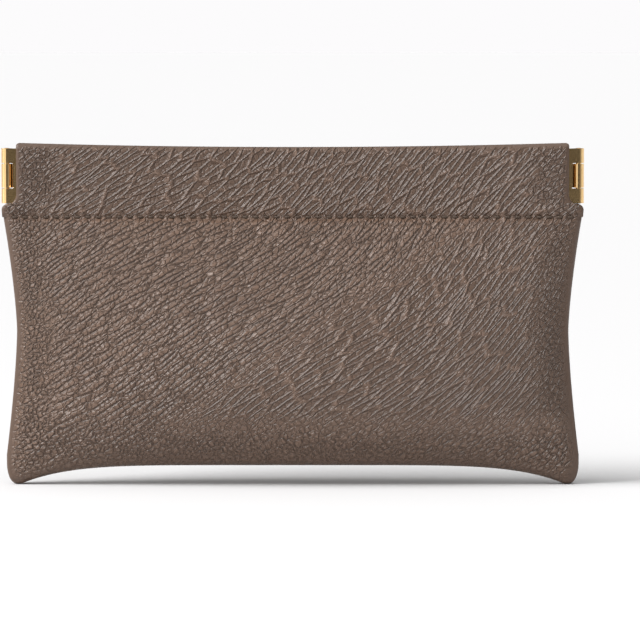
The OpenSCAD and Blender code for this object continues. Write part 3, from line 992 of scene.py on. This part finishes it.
def side_seam(end):
    """A flat bar up the pouch's outline, a little wavy inside and pinched by each stitch."""
    rows = []
    for z in np.linspace(SEAM_LOW, SEAM_TOP, 60):
        outline = float(side_x(z)) - SEAM_INSET
        wavy = 0.18 * math.sin(z / 2.7) + 0.1 * math.sin(z / 1.1 + 1)
        share = np.array([0, 0.1, 0.35, 0.5, 0.65, 0.9, 1.0])
        at_stitch = 0.5 + 0.5 * math.cos(2 * math.pi * z / SEAM_PITCH)
        pinch = 1 - 0.3 * np.exp(-(((share - 0.5) / 0.1) ** 2)) * at_stitch
        x = outline - (SEAM_W + wavy) * share
        y = SEAM_HALF * np.array([0, 0, 1.4, 1, 1, 1, 0.75]) * pinch
        y[:2] = SEAM_ROOT
        half_ring = [(end * a, b, z) for a, b in zip(x, y)]
        rows.append(half_ring + [(a, -b, c) for a, b, c in half_ring[::-1]])
    points = [p for row in rows for p in row]
    faces = tube_faces(len(rows[0]), len(rows), turned=end == RIGHT)
    return make_piece(f"side_seam_{END_NAMES[end]}", points, faces, cowhide, 50)


for end in (LEFT, RIGHT):
    seam = side_seam(end)
    keep_grain(seam, FRONT)
    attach(seam, "root")
    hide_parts(f"{END_NAMES[end]}_side_seam")
    bars = []
    for k in range(int((SEAM_TOP - SEAM_LOW - 2 * SEAM_MARGIN) / SEAM_PITCH)):
        z = SEAM_LOW + SEAM_MARGIN + k * SEAM_PITCH
        x = end * (float(side_x(z)) - SEAM_INSET - SEAM_W / 2)
        for face in (FRONT, BACK):
            y = face * (SEAM_HALF + SEAM_RAISE)
            bars.append(thread_bar(
                (x, y, z), (x, y, z + SEAM_PITCH * SEAM_STITCH), (0, face, 0), SEAM_THREAD_R, SEAM_DIVE
            ))
    thread = thread_row(f"seam_thread_{END_NAMES[end]}", bars)
    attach(thread, "root")
    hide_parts(f"{END_NAMES[end]}_seam_thread")

# Lining: thin brown cotton twill glued and sewn behind the leather, which stops short of the side seams and
# runs through the bottom in one fold. Each side is made as two halves, like the leather that it lies on.
LINING_T = 0.3
LINING_GAP = 0.22
LINING_INSET = 5.2
LINING_LOW, LINING_TOP = 6.8, 57.6
LINING_BACK_MIN, LINING_FACE_MIN = 0.55, 0.25
LINING_COLUMNS = 60
TWILL_SCALE = 1000 / 3.768

# Cotton twill is dull, ribbed on the slant and slightly fuzzy, so it keeps a soft light at its edges. Its ribs
# are drawn 1.2 mm apart, coarser than real ones, so that they show.
twill, tree = new_material("cotton_twill")
place = node(tree, "ShaderNodeTexCoord")
slanted = node(
    tree, "ShaderNodeMapping", {"Vector": place.outputs["Object"]}, in_Rotation=(0, math.radians(45), 0),
    in_Scale=(TWILL_SCALE,) * 3,
)
ribs = node(tree, "ShaderNodeTexWave", {"Vector": slanted.outputs["Vector"]}, in_Scale=1.0, in_Distortion=0.3)
yarns = node(tree, "ShaderNodeTexNoise", {"Vector": place.outputs["Object"]}, in_Scale=2200.0, in_Detail=2.0)
twill_height = node(
    tree, "ShaderNodeMath", {0: ribs.outputs["Fac"], 1: yarns.outputs["Fac"]}, operation="ADD"
)
twill_bump = node(
    tree, "ShaderNodeBump", {"Height": twill_height.outputs["Value"]}, in_Strength=0.5, in_Distance=0.00008
)
twill_tint = node(
    tree, "ShaderNodeMix", {"Factor": ribs.outputs["Fac"]}, data_type="RGBA",
    in_6=linear("#6f6156"), in_7=linear("#857668"),
)
twill_shader = node(
    tree, "ShaderNodeBsdfPrincipled",
    {"Base Color": twill_tint.outputs[2], "Normal": twill_bump.outputs["Normal"]},
    in_Roughness=0.85, in_IOR=1.5, in_Sheen_Weight=0.2,
)
finish_material(tree, twill_shader)


def lining_grid(side, end):
    """Rows of points up a lining half. Each row runs out behind the leather, and back on its open side."""
    shares = np.linspace(0, 1, LINING_COLUMNS)
    shares = np.concatenate([[-shares[1]], shares])
    rows = []
    for z0 in np.linspace(LINING_LOW, LINING_TOP, 50):
        outline = float(side_x(z0))
        x = shares * (outline - LINING_INSET)
        z = np.full_like(x, z0)
        behind = pouch_depth(end * x, z, outline - INNER_INSET, side) - LEATHER_T - LINING_GAP
        behind = np.maximum(behind, LINING_BACK_MIN)
        near = np.maximum(behind - LINING_T, LINING_FACE_MIN)
        rows.append(np.concatenate([
            np.stack([x, behind, z], 1), np.stack([x[::-1], near[::-1], z], 1),
        ]))
    return np.array(rows)


for side, end in QUARTERS:
    name = f"{SIDE_NAMES[side]}_lining_{END_NAMES[end]}"
    piece = wrapped_piece(name, lining_grid(side, end), side, end, twill, LINING_COLUMNS)
    swings_with_side(piece)
    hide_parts(f"{SIDE_NAMES[side]}_lining")

# Fold of the lining: the same twill in a half round through the bottom, between the feet of the front and
# the back lining. It is a lens, widest in the middle.
FOLD_END = 56.0
FOLD_TOP = LINING_LOW + 0.8
FOLD_GAP = 0.75
FOLD_SIDE_T, FOLD_LOW_T = 0.12, 0.2


def fold_ring(x):
    """Section of the fold at a place along the mouth: its underside, and back along its upper side."""
    depth = float(pouch_depth(x, np.array(FOLD_TOP), 60.0, FRONT)) - LEATHER_T - FOLD_GAP
    depth = max(0.2, depth)
    turn = np.linspace(-1, 1, 13)
    fall = [min(1.0, depth) * math.sqrt(max(0.0, 1 - t * t)) for t in turn]
    under = [(x, depth * t, FOLD_TOP - down) for t, down in zip(turn, fall)]
    upper = [(x, (depth - FOLD_SIDE_T) * t, FOLD_TOP + FOLD_LOW_T - down) for t, down in zip(turn, fall)]
    return under + upper[::-1]


fold_rings = [fold_ring(x) for x in np.linspace(-FOLD_END, FOLD_END, 81)]
points = [p for ring in fold_rings for p in ring]
faces = tube_faces(len(fold_rings[0]), len(fold_rings), turned=True)
lining_fold = make_piece("lining_fold", points, faces, twill, 50)
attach(lining_fold, "root")

# Studio: a white sweep in a dim room, as in a product photograph. The room has a large panel of light above
# and a weak one at the right. A strong soft light comes from the upper left, and a softbox stands close by at
# the left, where the gilt metal mirrors it.
CAMERA_FAR = 900.0
SENSOR_WIDTH = 36
VIEW_WIDTH = 140.3
AIM = (6.0, -4.0, 36.5)
TILT = math.radians(4)

camera_data = bpy.data.cameras.new("camera")
camera_data.sensor_width = SENSOR_WIDTH
camera_data.lens = SENSOR_WIDTH * CAMERA_FAR / VIEW_WIDTH
camera = add_object("camera", camera_data)
camera.location = (
    AIM[0] * MM, (AIM[1] - CAMERA_FAR * math.cos(TILT)) * MM, (AIM[2] + CAMERA_FAR * math.sin(TILT)) * MM
)
camera.rotation_euler = (math.pi / 2 - TILT, 0, 0)
bpy.context.scene.camera = camera

# The sweep ends in front of the purse, just outside the picture, so polished metal mirrors the dim room there.
# It reaches 20 m to the left, to the right and back. These two are in metres.
FLOOR_FRONT, FLOOR_FAR = -0.6, 20
floor_data = bpy.data.meshes.new("floor")
front_edge = [(-FLOOR_FAR, FLOOR_FRONT, 0), (FLOOR_FAR, FLOOR_FRONT, 0)]
far_edge = [(FLOOR_FAR, FLOOR_FAR, 0), (-FLOOR_FAR, FLOOR_FAR, 0)]
floor_data.from_pydata(front_edge + far_edge, [], [[0, 1, 2, 3]])
floor = add_object("floor", floor_data)

# A matt white sweep returns a nearly even light without any gloss, as bright as the background behind it
floor_paint, tree = new_material("white_sweep")
floor_shader = node(
    tree, "ShaderNodeBsdfPrincipled", in_Base_Color=(0.722, 0.719, 0.722, 1), in_Roughness=0.9,
    in_Specular_IOR_Level=0.0,
)
finish_material(tree, floor_shader)
floor_data.materials.append(floor_paint)

# Each panel is a soft patch of the room: its direction, how narrow it is and its strength
PANELS = [((0.0, -0.1, 1.0), 2.5, 1.15), ((1.0, -0.3, 0.1), 6.0, 0.6)]
ROOM = 0.1

world = bpy.data.worlds.new("studio")
bpy.context.scene.world = world
world.use_nodes = True
tree = world.node_tree
tree.nodes.clear()
direction = node(tree, "ShaderNodeTexCoord")
total = node(tree, "ShaderNodeValue")
total.outputs["Value"].default_value = ROOM
for towards, narrow, strength in PANELS:
    unit = np.array(towards) / np.linalg.norm(towards)
    facing = node(
        tree, "ShaderNodeVectorMath", {0: direction.outputs["Generated"]}, operation="DOT_PRODUCT",
        in_1=tuple(unit),
    )
    above = node(tree, "ShaderNodeMath", {0: facing.outputs["Value"]}, operation="MAXIMUM", in_1=0.0)
    patch = node(tree, "ShaderNodeMath", {0: above.outputs["Value"]}, operation="POWER", in_1=narrow)
    lit = node(tree, "ShaderNodeMath", {0: patch.outputs["Value"]}, operation="MULTIPLY", in_1=strength)
    total = node(
        tree, "ShaderNodeMath", {0: total.outputs["Value"], 1: lit.outputs["Value"]}, operation="ADD"
    )
around = node(tree, "ShaderNodeBackground", {"Strength": total.outputs["Value"]}, in_Color=(1, 1, 1, 1))
seen = node(tree, "ShaderNodeBackground", in_Color=linear("#fcfbfc"), in_Strength=1.0)
rays = node(tree, "ShaderNodeLightPath")
sky = node(
    tree, "ShaderNodeMixShader",
    {0: rays.outputs["Is Camera Ray"], 1: around.outputs["Background"], 2: seen.outputs["Background"]},
)
node(tree, "ShaderNodeOutputWorld", {"Surface": sky.outputs["Shader"]})



def facing_along(direction):
    """Rotation of a light that shines along a direction."""
    return mathutils.Vector(direction).to_track_quat("-Z", "Y").to_euler()


SUN_TOWARDS = (1.15, 0.36, -1.05)
SUN_STRENGTH = 3.35
SUN_WIDTH = math.radians(34)
sun_data = bpy.data.lights.new("key_light", "SUN")
sun_data.energy = SUN_STRENGTH
sun_data.angle = SUN_WIDTH
sun = add_object("key_light", sun_data)
sun.rotation_euler = facing_along(SUN_TOWARDS)

SOFTBOX_PLACE = (-360, -280, 160)
SOFTBOX_AIM = (0, 0, 35)
SOFTBOX_SIZE = (620, 460)
SOFTBOX_RADIANCE = 1.0
softbox_data = bpy.data.lights.new("left_softbox", "AREA")
softbox_data.shape = "RECTANGLE"
softbox_data.size, softbox_data.size_y = (length * MM for length in SOFTBOX_SIZE)
softbox_data.energy = SOFTBOX_RADIANCE * math.pi * softbox_data.size * softbox_data.size_y
softbox = add_object("left_softbox", softbox_data)
softbox.location = [c * MM for c in SOFTBOX_PLACE]
softbox.rotation_euler = facing_along([a - b for a, b in zip(SOFTBOX_AIM, SOFTBOX_PLACE)])

bpy.context.scene.view_settings.view_transform = "Standard"
